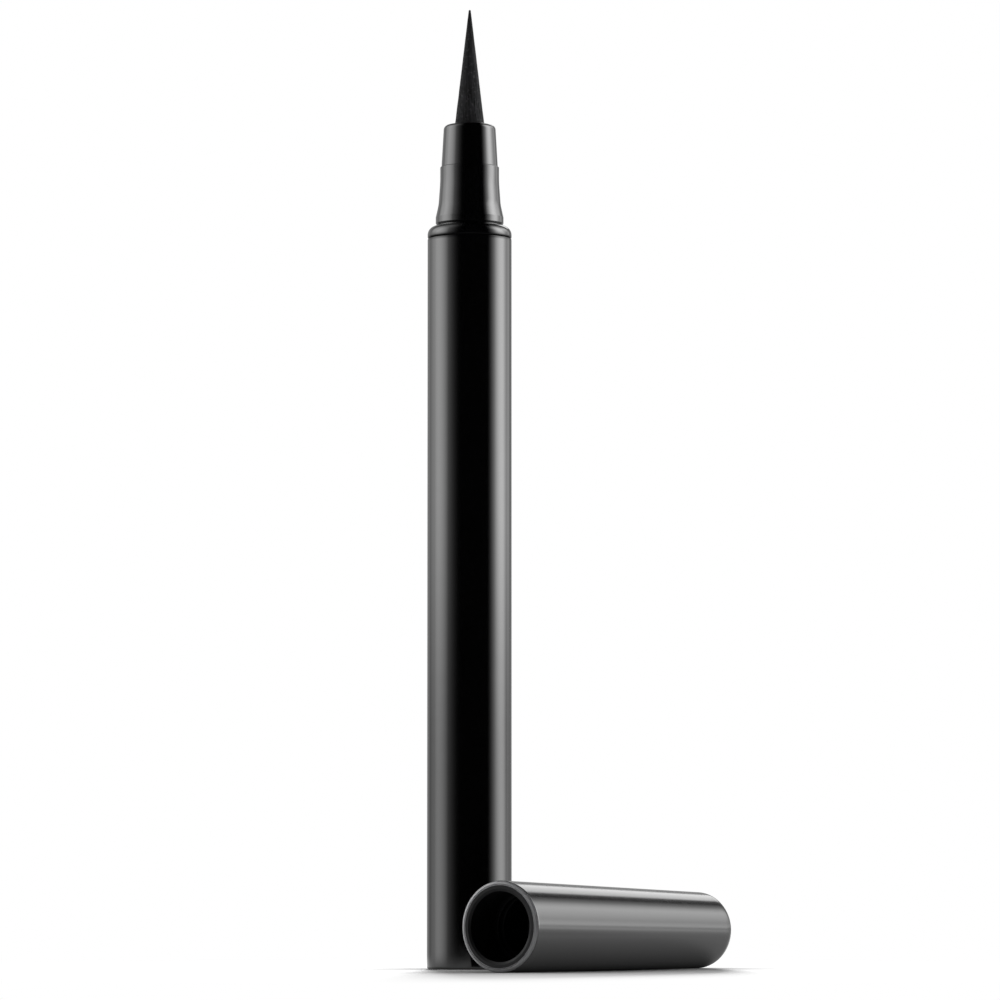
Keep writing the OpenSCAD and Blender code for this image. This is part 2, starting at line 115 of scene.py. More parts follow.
def skinned(name, grid, ring):
    """Object whose surface runs through a grid of points, rows by columns. The columns close
    round the piece. The rows of a ring close too, and otherwise the first and the last row are
    each capped by a fan from their own middle."""
    rows, columns = grid.shape[:2]
    number = np.arange(rows * columns).reshape(rows, columns)
    lower, upper = (number, np.roll(number, -1, 0)) if ring else (number[:-1], number[1:])
    quads = np.stack([lower, np.roll(lower, -1, 1), np.roll(upper, -1, 1), upper], -1)
    points, faces = grid.reshape(-1, 3), quads.reshape(-1, 4).tolist()
    if not ring:
        points = np.concatenate([points, grid[0].mean(0)[None], grid[-1].mean(0)[None]])
        first, last = np.full(columns, number.size), np.full(columns, number.size + 1)
        faces += np.stack([np.roll(number[0], -1), number[0], first], -1).tolist()
        faces += np.stack([number[-1], np.roll(number[-1], -1), last], -1).tolist()
    mesh = bpy.data.meshes.new(name)
    mesh.from_pydata(points.tolist(), [], faces)
    mesh.shade_smooth()
    mesh.set_sharp_from_angle(angle=sharp_fold)
    made = bpy.data.objects.new(name, mesh)
    bpy.context.scene.collection.objects.link(made)
    return made


def fitted(piece, body, node, material):
    """Puts a finished piece in the place of a CAD node, on that node's body and its
    material."""
    piece.data.materials.append(material)
    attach(piece, body)
    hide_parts(node)


def linear(colour):
    """sRGB hex turned to linear light by the sRGB curve."""
    share = np.array([int(colour[k:k + 2], 16) for k in (0, 2, 4)]) / 255
    light = np.where(share <= 0.04045, share / 12.92, ((share + 0.055) / 1.055) ** 2.4)
    return (*light, 1.0)


def add(tree, kind, inputs, **settings):
    """Adds a node with its own settings. Inputs gives each socket, by name or number, a value or
    the output of another node."""
    made = tree.nodes.new("ShaderNode" + kind)
    for name, value in settings.items():
        setattr(made, name, value)
    for socket, value in inputs.items():
        if isinstance(value, bpy.types.NodeSocket):
            tree.links.new(value, made.inputs[socket])
        else:
            made.inputs[socket].default_value = value
    return made


def blank(name):
    """Empty node material and its tree."""
    material = bpy.data.materials.new(name)
    material.use_nodes = True
    material.node_tree.nodes.clear()
    return material, material.node_tree


# Width of a cloud in the pigment and of a spot worn by handling
cloud_width, spot_width = 6 * mm, 1.5 * mm
# Between these values of a noise its effect goes from nothing to full
noise_low, noise_high = 0.3, 0.7


def moulded(name, dark, light, gloss, ripple, ripple_depth, **constant):
    """Moulded plastic. A slow cloud of pigment swings between dark and light, handling between
    the lowest and highest roughness in gloss, and the face has ripples of that width and height.
    Constant sets the shader's own sockets."""
    material, tree = blank(name)
    place = add(tree, "TexCoord", {}).outputs["Object"]
    cloud = add(tree, "TexNoise", {"Vector": place, "Scale": 1 / cloud_width, "Detail": 3.0})
    colour = add(tree, "Mix", {0: cloud.outputs[0], 6: linear(dark), 7: linear(light)}, data_type="RGBA")
    wear = add(tree, "TexNoise", {"Vector": place, "Scale": 1 / spot_width, "Detail": 4.0})
    rough = add(tree, "MapRange", {
        0: wear.outputs[0], 1: noise_low, 2: noise_high, 3: gloss[0], 4: gloss[1]})
    swell = add(tree, "TexNoise", {"Vector": place, "Scale": 1 / ripple, "Detail": 1.0})
    bump = add(tree, "Bump", {"Height": swell.outputs[0], "Distance": ripple_depth})
    shader = add(tree, "BsdfPrincipled", {
        "Base Color": colour.outputs[2], "Roughness": rough.outputs[0], "Normal": bump.outputs[0],
        **constant})
    add(tree, "OutputMaterial", {"Surface": shader.outputs[0]})
    return material


# Mirror-polished ABS: hardly any light comes back from its body, and its face is a dark mirror
# with a moulding's slow ripple, a few micrometres high, that makes the bands waver a little.
abs_face = {"dark": "040405", "light": "070708", "ripple": 5 * mm, "ripple_depth": 0.004 * mm}
polished_abs = moulded("Polished black ABS", **abs_face, gloss=(0.05, 0.09), IOR=1.52)

# Painted shade at the seam: beside the gap the mirroring is turned down, which darkens the edges as the
# shade of a deeper groove would. It comes back to the usual level between these distances from it.
seam_shade_span = (0.06 * mm, 0.46 * mm)
shaded_mirroring, usual_mirroring = 0.05, 0.5


def varied(name, moulding):
    """Copy of a moulded material under a new name, with its tree, its shader and the place on the
    object, for a finish that changes over the piece."""
    material = moulding.copy()
    material.name = name
    tree = material.node_tree
    shader = next(node for node in tree.nodes if node.type == "BSDF_PRINCIPLED")
    place = add(tree, "TexCoord", {}).outputs["Object"]
    return material, tree, shader, place


def seam_shaded(name, moulding, seam_height):
    """Moulded material with painted shade at a seam at this height: it mirrors little near the seam, and its
    mirroring grows with the distance from the seam in height, from the low mirroring by the seam to
    usual_mirroring."""
    material, tree, shader, place = varied(name, moulding)
    height = add(tree, "SeparateXYZ", {0: place}).outputs[2]
    above = add(tree, "Math", {0: height, 1: seam_height}, operation="SUBTRACT").outputs[0]
    away = add(tree, "Math", {0: above}, operation="ABSOLUTE").outputs[0]
    mirroring = add(tree, "MapRange", {
        0: away, 1: seam_shade_span[0], 2: seam_shade_span[1], 3: shaded_mirroring, 4: usual_mirroring})
    tree.links.new(mirroring.outputs[0], shader.inputs["Specular IOR Level"])
    return material


# Black ABS with painted shade along the seam, for the barrel and the shoulder ring
seam_shaded_abs = seam_shaded("Polished black ABS with painted seam shade", polished_abs, seam_z)

barrel_outline = rounded([
    (bore_r, 0, moulded_edge), (barrel_r, 0, foot_round),
    (barrel_r, seam_z, seam_round), (bore_r, seam_z, moulded_edge)])
barrel_tube = skinned("barrel_tube", turned(barrel_outline), ring=True)
fitted(barrel_tube, "pen", "barrel", seam_shaded_abs)

# Tail plug: a cup moulded in black polypropylene, pressed into the foot until it is flush.
# A dimple in its middle keeps the stub of the moulding gate clear of the table.
plug_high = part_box("tail_plug")[1]
plug_r = plug_high.x
plug_h = plug_high.z
plug_floor = 1.5 * mm
plug_wall = 0.9 * mm
plug_cup_r = plug_r - plug_wall
plug_edge = 0.1 * mm
plug_land = 1 * mm
plug_relief = 0.2 * mm
plug_waist_r = plug_r - plug_relief
gate_r = 0.35 * mm
gate_z = 0.12 * mm
dimple_r = 1.1 * mm
dimple_z = 0.3 * mm
# A closed outline starts and ends this far from the axis
axis_r = 0.02 * mm

# Satin polypropylene: a spark-eroded tool leaves a fine even grain, which swallows most of the gleam. Its
# black is also painted darker, and its mirroring set lower, than the plastic's own. This is painted shade
# for the inside of the cap, where little light gets in. The grain is drawn at twice its real width to show
# at all.
satin_pp = moulded(
    "Satin black polypropylene with painted shade", dark="070708", light="0c0c0d", gloss=(0.42, 0.55),
    ripple=0.2 * mm, ripple_depth=0.004 * mm, IOR=1.49, **{"Specular IOR Level": 0.12})

plug_outline = rounded([
    (axis_r, gate_z, 0), (gate_r, gate_z, moulded_edge), (gate_r, dimple_z, moulded_edge),
    (dimple_r - dimple_z, dimple_z, plug_edge), (dimple_r, 0, plug_edge), (plug_r, 0, plug_edge),
    (plug_r, plug_floor, moulded_edge), (plug_waist_r, plug_floor, moulded_edge),
    (plug_waist_r, plug_h - plug_land, moulded_edge), (plug_r, plug_h - plug_land, moulded_edge),
    (plug_r, plug_h, plug_edge), (plug_cup_r, plug_h, plug_edge),
    (plug_cup_r, plug_floor, plug_edge), (axis_r, plug_floor, 0)])
plug_moulding = skinned("tail_plug_moulding", turned(plug_outline), ring=False)
fitted(plug_moulding, "pen", "tail_plug", satin_pp)

# Ink tank, its rear plug, the finned collector and the sleeve round it: all moulded in natural
# polypropylene and pressed together, then slid into the barrel from above. They stay hidden.
# Natural polypropylene: milky, with light scattering about a millimetre deep, and smooth.
natural_pp = moulded(
    "Natural polypropylene", dark="c9cdca", light="d6d8d4", gloss=(0.3, 0.42),
    ripple=2 * mm, ripple_depth=0.006 * mm, IOR=1.49,
    **{"Subsurface Weight": 0.35, "Subsurface Scale": 1 * mm})
for name in ("tank_plug", "ink_tank", "collector", "collector_housing"):
    frame["nodes"][name].material_slots[0].material = natural_pp

# Feed core: a rod of bonded polyester fibre that carries the ink forward, white when dry. It is
# drawn with the fibres running along it, in bundles of a tenth of a millimetre.
fibre_bundle = 0.1 * mm
# A streak and a fleck are this many bundles wide
streak_bundles, fleck_bundles = 3, 4
# The noise of the streaks runs at this share of its pace along the piece, which draws them out
streak_pace = 0.12
# Between these values of their noises the streaks and the flecks come up
streak_low, streak_high = 0.38, 0.62
fleck_low, fleck_high = 0.56, 0.72


def fibrous(name, dark, light, fleck, roughness):
    """Bonded fibre. Streaks run along the piece, a few bundles wide and many long, between the
    colours dark and light. Flecks where fibre ends catch the light are brightened to fleck."""
    material, tree = blank(name)
    place = add(tree, "TexCoord", {}).outputs["Object"]
    along = add(tree, "Mapping", {"Vector": place, "Scale": (1.0, 1.0, streak_pace)}).outputs[0]
    strands = add(tree, "TexNoise", {
        "Vector": along, "Scale": 1 / (streak_bundles * fibre_bundle), "Detail": 4.0})
    shade = add(tree, "MapRange", {0: strands.outputs[0], 1: streak_low, 2: streak_high})
    colour = add(tree, "Mix", {0: shade.outputs[0], 6: linear(dark), 7: linear(light)}, data_type="RGBA")
    ends = add(tree, "TexNoise", {
        "Vector": place, "Scale": 1 / (fleck_bundles * fibre_bundle), "Detail": 3.0})
    caught = add(tree, "MapRange", {0: ends.outputs[0], 1: fleck_low, 2: fleck_high})
    flecked = add(
        tree, "Mix", {0: caught.outputs[0], 6: colour.outputs[2], 7: linear(fleck)}, data_type="RGBA")
    bump = add(tree, "Bump", {"Height": strands.outputs[0], "Distance": fibre_bundle / 2})
    shader = add(tree, "BsdfPrincipled", {
        "Base Color": flecked.outputs[2], "Roughness": roughness, "Normal": bump.outputs[0],
        "Sheen Weight": 0.1, "Sheen Roughness": 0.5, "Specular IOR Level": 0.3})
    add(tree, "OutputMaterial", {"Surface": shader.outputs[0]})
    return material


dry_fibre = fibrous(
    "Bonded polyester fibre", dark="d5d2c6", light="ebe8de", fleck="f6f4ec", roughness=0.8)
frame["nodes"]["feed_core"].material_slots[0].material = dry_fibre

# Tank seal: an O-ring in the groove of the collector's plug, pressed from black nitrile rubber.
# Nitrile rubber: dull and slightly greasy, with a grain of carbon black.
nitrile = moulded(
    "Black nitrile rubber", dark="202123", light="2b2c2e", gloss=(0.55, 0.7),
    ripple=0.4 * mm, ripple_depth=0.008 * mm, IOR=1.52)
frame["nodes"]["tank_seal"].material_slots[0].material = nitrile

# Mixing ball: a loose bearing ball that stirs the ink when the pen is shaken.
# Ball-ground stainless steel: a clear mirror with fine lapping marks.
def steel(name, colour, gloss, mark, mark_depth):
    """Bare stainless steel. Gloss gives the lowest and highest roughness, mark the width of the
    marks left by making it and mark_depth their depth."""
    material, tree = blank(name)
    place = add(tree, "TexCoord", {}).outputs["Object"]
    marks = add(tree, "TexNoise", {"Vector": place, "Scale": 1 / mark, "Detail": 5.0})
    rough = add(tree, "MapRange", {
        0: marks.outputs[0], 1: noise_low, 2: noise_high, 3: gloss[0], 4: gloss[1]})
    bump = add(tree, "Bump", {"Height": marks.outputs[0], "Distance": mark_depth})
    shader = add(tree, "BsdfPrincipled", {
        "Base Color": linear(colour), "Metallic": 1.0, "Roughness": rough.outputs[0],
        "Normal": bump.outputs[0]})
    add(tree, "OutputMaterial", {"Surface": shader.outputs[0]})
    return material


ground_steel = steel(
    "Lapped stainless steel", colour="c4c5c7", gloss=(0.08, 0.16), mark=0.3 * mm, mark_depth=0.002 * mm)
frame["nodes"]["mixing_ball"].material_slots[0].material = ground_steel

# Neck: the black ABS front of the pen, pressed over the collector housing and into the barrel.
# Above its foot stands the bead that the cap snaps over, and from there it flares in to the
# straight front that the nozzle's spigot is pressed into.
neck_low, neck_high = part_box("neck")
shoulder_low, shoulder_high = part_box("shoulder_ring")
neck_top_z = neck_high.z
neck_low_z = neck_low.z
neck_out_r = neck_high.x
neck_skirt_wall = 0.38 * mm
neck_skirt_r = neck_out_r - neck_skirt_wall
neck_step_z = shoulder_low.z
neck_land = 0.9 * mm
neck_land_z = neck_step_z - neck_land
shoulder_z = shoulder_high.z
neck_foot_r = 4.05 * mm
bead_proud = 0.19 * mm
bead_r = neck_foot_r + bead_proud
# Height of the plain foot, of the rise to the bead and of the bead's flat
neck_foot_h, bead_rise, bead_flat = 0.1 * mm, 0.25 * mm, 0.75 * mm
bead_foot_z = shoulder_z + neck_foot_h
bead_low_z = bead_foot_z + bead_rise
bead_top_z = bead_low_z + bead_flat
bead_round = 0.1 * mm
flare_h = 4.45 * mm
# Radius of the neck's front to its foot, and of a bore to the piece that it is in
neck_share, bore_share = 0.909, 0.782
neck_r = neck_foot_r * neck_share
neck_bore_r = neck_r * bore_share
neck_round = 0.08 * mm
# Where the flare turns: share of its height, share of the way out to the bead, and rounding
flare_shares = ((0.18, 0.68, 6 * mm), (0.37, 0.36, 5 * mm), (1, 0, 20 * mm))

flare = [
    (neck_r + (bead_r - neck_r) * out, bead_top_z + flare_h * up, softness)
    for up, out, softness in flare_shares]
neck_outline = rounded([
    (neck_skirt_r, neck_low_z, moulded_edge), (neck_out_r, neck_low_z, moulded_edge),
    (neck_out_r, neck_step_z, moulded_edge), (neck_foot_r, neck_step_z, moulded_edge),
    (neck_foot_r, bead_foot_z, bead_round), (bead_r, bead_low_z, bead_round),
    (bead_r, bead_top_z, bead_round), *flare, (neck_r, neck_top_z, neck_round),
    (neck_bore_r, neck_top_z, moulded_edge), (neck_bore_r, neck_land_z, moulded_edge),
    (neck_skirt_r, neck_land_z, moulded_edge)])
neck_moulding = skinned("neck_moulding", turned(neck_outline), ring=True)
fitted(neck_moulding, "pen", "neck", polished_abs)

# Shoulder ring: a black ABS collar between barrel and neck. Its skirt is pressed into the barrel,
# and its top edge is rounded almost over its whole height.
shoulder_round = 1.1 * mm
# Gap left all round in a pressed or glued fit
fit_gap = 0.03 * mm
ring_bore_r = neck_foot_r + fit_gap

shoulder_outline = rounded([
    (ring_bore_r, neck_step_z, moulded_edge), (neck_out_r, neck_step_z, moulded_edge),
    (neck_out_r, seam_z, moulded_edge), (barrel_r, seam_z, seam_round),
    (barrel_r, shoulder_z, shoulder_round), (ring_bore_r, shoulder_z, moulded_edge)])
shoulder_collar = skinned("shoulder_collar", turned(shoulder_outline), ring=True)
fitted(shoulder_collar, "pen", "shoulder_ring", seam_shaded_abs)

# Nozzle: the black ABS front piece that grips the tip. Its spigot is pressed into the neck, and a
# small rounding at its rear edge makes the second seam of the pen.
nozzle_low, nozzle_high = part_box("nozzle")
nozzle_r = nozzle_high.x
nozzle_taper = 0.305 * mm
nozzle_top_r = nozzle_r - nozzle_taper
nozzle_top_z = nozzle_high.z
nozzle_low_z = nozzle_low.z
spigot_r = neck_bore_r - fit_gap
holder_bore_r = spigot_r * bore_share
# Radius of the tip to that of its collar
tip_share = 0.846
tip_r = (holder_bore_r - fit_gap) * tip_share
tip_hole_r = tip_r + fit_gap
nozzle_lip_h = 2 * mm
lip_z = nozzle_top_z - nozzle_lip_h
nozzle_low_round = 0.06 * mm
nozzle_top_round = 0.6 * mm
nozzle_outline = rounded([
    (holder_bore_r, nozzle_low_z, moulded_edge), (spigot_r, nozzle_low_z, moulded_edge),
    (spigot_r, neck_top_z, moulded_edge), (nozzle_r, neck_top_z, nozzle_low_round),
    (nozzle_top_r, nozzle_top_z, nozzle_top_round), (tip_hole_r, nozzle_top_z, moulded_edge),
    (tip_hole_r, lip_z, moulded_edge), (holder_bore_r, lip_z, moulded_edge)])
nozzle_moulding = skinned("nozzle_moulding", turned(nozzle_outline), ring=True)
fitted(nozzle_moulding, "pen", "nozzle", polished_abs)

# Tip holder: a grooved sleeve of black polypropylene round the root of the tip. Its grooves let
# air back to the collector.
frame["nodes"]["tip_holder"].material_slots[0].material = satin_pp

# Fibre tip: a rod of bonded nylon fibre, ground to a long cone and soaked with black ink. The
# fibres run to the point, so the cone is lightly fluted, and it is dull all over.
# The flutes stand for bundles of fibre and are drawn a few times wider than a real fibre.
fibre_low, fibre_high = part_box("fibre_tip")
point_z = fibre_high.z
point_r = 0.14 * mm
root_low_z = fibre_low.z
tip_collar_h = 0.8 * mm
collar_low_z = lip_z - tip_collar_h
collar_r = holder_bore_r - fit_gap
root_share = 0.614
root_r = collar_r * root_share
core_hole_r = 0.93 * mm
core_socket_h = 2 * mm
core_top_z = root_low_z + core_socket_h
cone_rows, dome_rows = 120, 7
# Depth of the flutes as a share of the radius, reached at one part in this many of the cone
flute_depth = 0.035
flute_start = 12
# Flutes round the tip, how far each set twists on the way up, and its share of the depth
flutes = ((31, 1.5, 0.4), (47, -2.5, 0.35), (73, 4.0, 0.25))

cone_share = np.linspace(0, 1, cone_rows)[:, None]
dome_rise = np.linspace(0, 0.5 * math.pi, dome_rows)[:-1, None]
cone_end_z = point_z - point_r
cone_r = tip_r + (point_r - tip_r) * cone_share
cone_z = nozzle_top_z + (cone_end_z - nozzle_top_z) * cone_share
# Fluted cone: at the angle a its radius is cut by flute_depth times the sum, over the sets of
# flutes, of weight times (1 - cos(count a + twist turns times the share of the way up)) / 2
fluting = sum(
    weight * (np.cos(count * round_turn + 2 * math.pi * twist * cone_share) - 1) / 2
    for count, twist, weight in flutes)
fluted_r = cone_r * (1 + flute_depth * fluting * np.minimum(1, flute_start * cone_share))
cone = np.stack(
    [fluted_r * np.cos(round_turn), fluted_r * np.sin(round_turn), cone_z + 0 * round_turn], -1)
dome = turned(np.concatenate(
    [point_r * np.cos(dome_rise), cone_end_z + point_r * np.sin(dome_rise)], 1))
stem = turned(rounded([
    (axis_r, core_top_z, 0), (core_hole_r, core_top_z, moulded_edge),
    (core_hole_r, root_low_z, moulded_edge), (root_r, root_low_z, moulded_edge),
    (root_r, collar_low_z, moulded_edge), (collar_r, collar_low_z, moulded_edge),
    (collar_r, lip_z, moulded_edge), (tip_r, lip_z, moulded_edge),
    (tip_r, (lip_z + nozzle_top_z) / 2, 0)]))
inked_fibre = fibrous(
    "Inked nylon fibre", dark="0c0c0d", light="242426", fleck="3e3e40", roughness=0.9)
inked_tip = skinned("inked_fibre_tip", np.concatenate([stem, cone, dome[1:]]), ring=False)
fitted(inked_tip, "pen", "fibre_tip", inked_fibre)

# Cap shell: a closed tube moulded in black ABS, a little wider than the barrel at its mouth and
# slimmer towards its rounded end. It lies on its side, so its axis dips by half of that taper.
cap_low, cap_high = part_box("cap_shell")
slide = next(joint for joint in frame["joints"] if joint["name"] == "inner_cap_slide")
cap_axis = np.array(slide["axis"]) / np.linalg.norm(slide["axis"])
# Radius and length are a few micrometres short of the solid's, so that the finer surface stays
# inside its box
cap_proud = 0.194 * mm
cap_mouth_r = barrel_r + cap_proud
cap_len = 45.99 * mm
lip_round = 0.36 * mm
cap_end_round = 1.9 * mm
shell_wall = 0.4 * mm
shell_end_t = 0.9 * mm
shell_end_u = cap_len - shell_end_t
shell_inner_round = cap_end_round - shell_wall
cap_slope = -cap_axis[2] / cap_axis[0]
cap_side = np.array([0.0, 1.0, 0.0])
cap_down = np.cross(cap_side, cap_axis)
cap_mouth = np.array([
    cap_low.x + cap_mouth_r * cap_slope, (cap_low.y + cap_high.y) / 2,
    cap_mouth_r * cap_axis[0] - lip_round * cap_axis[2]])


def laid(grid):
    """Lays a piece of the cap, drawn upright with its mouth at zero, along the cap's axis: the
    point (x, y, u) goes to the mouth plus x times down, y times sideways and u times the axis."""
    return cap_mouth + grid @ np.stack([cap_down, cap_side, cap_axis])


def cap_r(u):
    """Outer radius of the cap at the distance u from its mouth: the mouth's radius less the slope
    times the distance past the lip's rounding."""
    return cap_mouth_r - cap_slope * (u - lip_round)


# Handled ABS: the cap is what the hand holds, and its polish is a little duller than the pen's, so that its
# bands are softer. The end face at the cap's mouth is painted grey. This is a painted highlight: the thin
# bright ring where the lip catches the light.
mouth_highlight_grey = "a0a0a2"
mouth_highlight_depth = 0.25 * mm


def faced(name, moulding, low_r):
    """Moulded material with a painted highlight on its end face: it is painted grey on the part that lies
    less than the highlight's depth behind the cap's mouth and further than low_r from the cap's axis."""
    material, tree, shader, place = varied(name, moulding)
    off = add(tree, "VectorMath", {0: place, 1: tuple(cap_mouth)}, operation="SUBTRACT").outputs[0]
    behind = add(tree, "VectorMath", {0: off, 1: tuple(cap_axis)}, operation="DOT_PRODUCT").outputs["Value"]
    across = add(tree, "VectorMath", {0: off, 1: tuple(cap_axis)}, operation="CROSS_PRODUCT").outputs[0]
    radius = add(tree, "VectorMath", {0: across}, operation="LENGTH").outputs["Value"]
    near = add(tree, "MapRange", {0: behind, 1: mouth_highlight_depth, 2: mouth_highlight_depth / 2}).outputs[0]
    highlighted = add(tree, "MapRange", {0: radius, 1: low_r, 2: low_r + mouth_highlight_depth / 4, 4: near}).outputs[0]
    skin = shader.inputs["Base Color"].links[0].from_socket
    both = add(tree, "Mix", {0: highlighted, 6: skin, 7: linear(mouth_highlight_grey)}, data_type="RGBA").outputs[2]
    tree.links.new(both, shader.inputs["Base Color"])
    return material


handled_abs = moulded("Handled black ABS", **abs_face, gloss=(0.11, 0.15), IOR=1.49)
# The cap shell's black ABS, with the painted highlight at its mouth
faced_abs = faced("Black ABS with a painted mouth highlight", handled_abs, 0)

shell_outline = rounded([
    (axis_r, shell_end_u, 0), (cap_r(shell_end_u) - shell_wall, shell_end_u, shell_inner_round),
    (cap_r(0) - shell_wall, 0, moulded_edge / 2), (cap_r(0), 0, lip_round),
    (cap_r(cap_len), cap_len, cap_end_round), (axis_r, cap_len, 0)])
cap_moulding = skinned("cap_shell_moulding", laid(turned(shell_outline)), ring=False)
fitted(cap_moulding, "cap", "cap_shell", faced_abs)

# Cap liner: a polypropylene sleeve glued into the shell, the dark ring inside the cap's lip.
# Behind a lead-in a rib snaps over the neck's bead, then come the groove for the keeper ring and
# the step down to the narrower bore that the spring lies in.
liner_gap = shell_wall + fit_gap
# Gap between two faces that part when a piece moves
stop_gap = 0.02 * mm
liner_end_u = shell_end_u - stop_gap
liner_floor_t = 0.8 * mm
liner_floor_u = liner_end_u - liner_floor_t
bead_gap = 0.07 * mm
front_bore_r = bead_r + bead_gap
# The cap is slimmer by this much in radius at its closed end
cap_taper = 0.7 * mm
liner_wall = 0.6 * mm
rear_bore_r = cap_mouth_r - cap_taper - liner_gap - liner_wall
lead_in = 0.19 * mm
lead_in_r = front_bore_r + lead_in
rib_r = bead_r - bead_proud / 3
rib_u = 0.15 * mm
rib_flat = 0.05 * mm
rib_back = 0.15 * mm
inner_mouth_u = 6.25 * mm
keeper_t = 0.8 * mm
keeper_u = inner_mouth_u - stop_gap - keeper_t
groove_depth = 0.12 * mm
groove_r = front_bore_r + groove_depth
# The wide bore runs on this far behind the inner cap's mouth
front_bore_run = 8.9 * mm
liner_step_u = inner_mouth_u + front_bore_run
spring_room = 0.72 * mm
spring_r = rear_bore_r - spring_room
boss_room = 0.8 * mm
boss_r = spring_r - boss_room
boss_h = 2.5 * mm

# Satin polypropylene again. The painted highlight on the shell's end face runs on over the outer edge of the
# liner's end face, this far in.
highlight_over = 0.15 * mm
faced_pp = faced("Satin polypropylene with a painted mouth highlight", satin_pp, cap_r(0) - liner_gap - highlight_over)

liner_outline = rounded([
    (axis_r, liner_floor_u - boss_h, 0), (boss_r, liner_floor_u - boss_h, plug_edge),
    (boss_r, liner_floor_u, moulded_edge), (rear_bore_r, liner_floor_u, moulded_edge),
    (rear_bore_r, liner_step_u, moulded_edge), (front_bore_r, liner_step_u, moulded_edge),
    (front_bore_r, keeper_u + keeper_t, moulded_edge), (groove_r, keeper_u + keeper_t, moulded_edge),
    (groove_r, keeper_u, moulded_edge), (front_bore_r, keeper_u, moulded_edge),
    (front_bore_r, rib_u + rib_flat + rib_back, moulded_edge), (rib_r, rib_u + rib_flat, moulded_edge),
    (rib_r, rib_u, moulded_edge), (lead_in_r, 0, moulded_edge), (cap_r(0) - liner_gap, 0, moulded_edge),
    (cap_r(liner_end_u) - liner_gap, liner_end_u, shell_inner_round), (axis_r, liner_end_u, 0)])
liner_sleeve = skinned("cap_liner_sleeve", laid(turned(liner_outline)), ring=False)
fitted(liner_sleeve, "cap", "cap_liner", faced_pp)

# Keeper ring: a split-free ring of black polypropylene that snaps into the liner's groove and
# keeps the inner cap from being pushed out by its spring.
keeper_r = groove_r - fit_gap
keeper_w = 0.55 * mm
keeper_hole_r = keeper_r - keeper_w
keeper_outline = rounded([
    (keeper_hole_r, keeper_u, plug_edge), (keeper_r, keeper_u, plug_edge),
    (keeper_r, keeper_u + keeper_t, plug_edge), (keeper_hole_r, keeper_u + keeper_t, plug_edge)])
keeper = skinned("keeper_snap_ring", laid(turned(keeper_outline)), ring=True)
fitted(keeper, "cap", "keeper_ring", satin_pp)

# Inner cap: a black polypropylene cup on the spring. It closes over the nozzle, and its long
# chamber takes the tip. The collar at its rear runs in the liner's narrow bore.
nozzle_h = nozzle_top_z - neck_top_z
# Room left between the cup's mouth and the neck when the pen is closed
mouth_room = 0.3 * mm
seal_t = 1.3 * mm
seal_face = nozzle_h - mouth_room
seal_back = seal_face + seal_t
nozzle_gap = 0.075 * mm
inner_bore_r = nozzle_r + nozzle_gap
slide_gap = 0.05 * mm
flange_r = front_bore_r - slide_gap
flange_t = 1.2 * mm
cup_wall = 0.45 * mm
cup_r = inner_bore_r + cup_wall
collar_run_r = rear_bore_r - slide_gap
collar_run = 1.5 * mm
chamber_wall = 0.6 * mm
# How far the chamber's wall stands out from the tip, as a share of the room
chamber_share = 0.405
chamber_r = tip_r + (collar_run_r - chamber_wall - tip_r) * chamber_share
tube_r = chamber_r + chamber_wall
inner_step = seal_back + chamber_wall
# Room left in front of the tip's point when the pen is closed
point_room = 1 * mm
chamber_end = seal_face + point_z - nozzle_top_z + point_room
inner_back = chamber_end + chamber_wall
inner_outline = rounded([
    (axis_r, chamber_end, 0), (chamber_r, chamber_end, plug_edge), (chamber_r, seal_back, moulded_edge),
    (inner_bore_r, seal_back, moulded_edge), (inner_bore_r, 0, plug_edge), (flange_r, 0, plug_edge),
    (flange_r, flange_t, plug_edge), (cup_r, flange_t, moulded_edge), (cup_r, inner_step, plug_edge),
    (tube_r, inner_step, moulded_edge), (tube_r, inner_back - collar_run, moulded_edge),
    (collar_run_r, inner_back - collar_run, plug_edge), (collar_run_r, inner_back, plug_edge),
    (boss_r, inner_back, moulded_edge), (boss_r, inner_back + boss_h, plug_edge),
    (axis_r, inner_back + boss_h, 0)])
inner_outline[:, 1] += inner_mouth_u
inner_cup = skinned("inner_cap_cup", laid(turned(inner_outline)), ring=False)
fitted(inner_cup, "sprung_inner_cap", "inner_cap", satin_pp)

# Inner cap seal: a soft ring in the bottom of the cup that presses on the nozzle's face and keeps
# the ink from drying.
soft_r = inner_bore_r - stop_gap
seal_lip = 0.15 * mm
soft_hole_r = chamber_r - seal_lip
soft_outline = rounded([
    (soft_hole_r, seal_face, plug_edge), (soft_r, seal_face, plug_edge),
    (soft_r, seal_back, plug_edge), (soft_hole_r, seal_back, plug_edge)])
soft_outline[:, 1] += inner_mouth_u
soft_ring = skinned("inner_cap_soft_ring", laid(turned(soft_outline)), ring=True)
fitted(soft_ring, "sprung_inner_cap", "inner_cap_seal", nitrile)

# Cap spring: drawn stainless wire coiled with open turns and one closed turn at each end, between
# the liner's floor and the inner cap. It shortens as the inner cap is pushed in.
# Drawn spring wire: bright, with fine die lines.
wire_r = 0.225 * mm
spring_turns = 9
closed_turns = 1
# Rise of a closed turn in widths of the wire
closed_pitch = 1.05
rings_a_turn = 36
wire_sides = 16
spring_low_u = inner_mouth_u + inner_back + stop_gap + wire_r
spring_high_u = liner_floor_u - stop_gap - wire_r
drawn_steel = steel(
    "Drawn stainless spring wire", colour="b4b6b9", gloss=(0.16, 0.28), mark=0.12 * mm,
    mark_depth=0.003 * mm)

